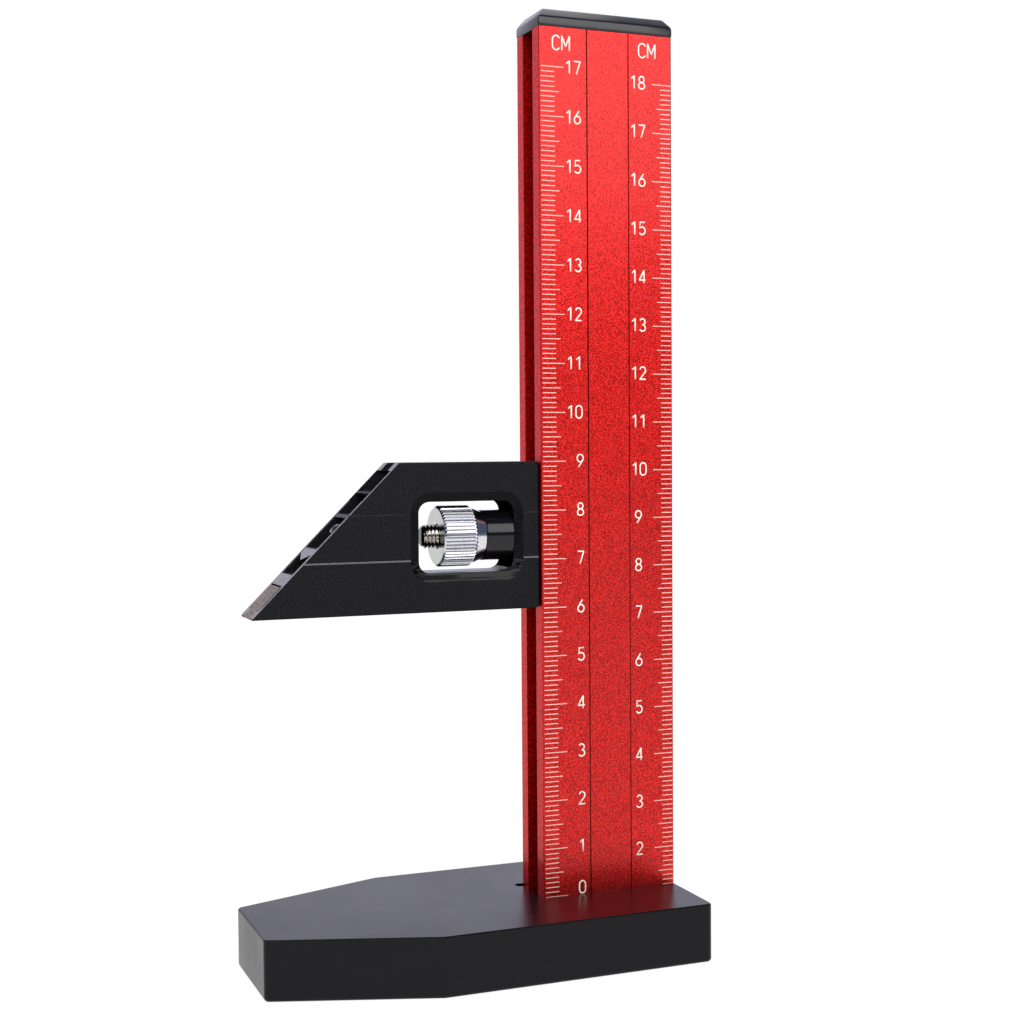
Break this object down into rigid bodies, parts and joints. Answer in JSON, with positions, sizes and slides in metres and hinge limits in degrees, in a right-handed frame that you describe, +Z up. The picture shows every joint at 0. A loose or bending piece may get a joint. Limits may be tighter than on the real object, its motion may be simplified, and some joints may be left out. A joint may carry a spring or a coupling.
{
  "type": "height gauge",
  "caption": "Small bench height gauge: an engraved slotted column on a tapered base, with a sliding pointed head clamped by a knurled nut.",
  "frame": {"origin": "centre of the base's underside, on the surface it stands on", "axes": "+Z up the column, +X from the base's nose to the column, +Y from the scale's face to the back"},
  "size_m": [0.0901, 0.0466, 0.1939],
  "materials": {
    "base_aluminium": "milled, black anodised, satin",
    "column_aluminium": "extruded, bead blasted, red anodised, with an engraved scale",
    "cap_plastic": "moulded black plastic, satin",
    "dark_steel": "black oxide steel",
    "slider_aluminium": "extruded, bead blasted, black anodised, bare metal at the slanted cut",
    "bare_aluminium": "bare, fine saw marks on the slanted end",
    "bare_steel": "bare steel bar",
    "collar_aluminium": "turned, black anodised, gloss",
    "plated_steel": "bright nickel plate over a straight knurl"
  },
  "bodies": {
    "stand": {"base_plate": "base_aluminium", "column": "column_aluminium", "end_cap": "cap_plastic", "base_screw_1": "dark_steel", "base_screw_2": "dark_steel"},
    "head": {"slider_body": "slider_aluminium", "pointer_strip": "bare_aluminium", "t_bar": "bare_steel", "clamp_stud": "dark_steel"},
    "collar": {"spacer_collar": "collar_aluminium"},
    "nut": {"thumb_nut": "plated_steel"}
  },
  "joints": [
    {"name": "head_slide", "type": "slide", "parent": "stand", "child": "head", "axis": [0, 0, 1], "range_m": [-0.0597, 0.0877]},
    {"name": "collar_slide", "type": "slide", "parent": "head", "child": "collar", "axis": [-1, 0, 0], "range_m": [0, 0.0048]},
    {"name": "nut_turn", "type": "hinge", "parent": "collar", "child": "nut", "pos_m": [0, 0, 0.087], "axis": [-1, 0, 0], "range_deg": [0, 2160]}
  ],
  "couplings": [
    {"joint": "collar_slide", "follows": "nut_turn", "m_per_rad": 0.00012732}
  ]
}
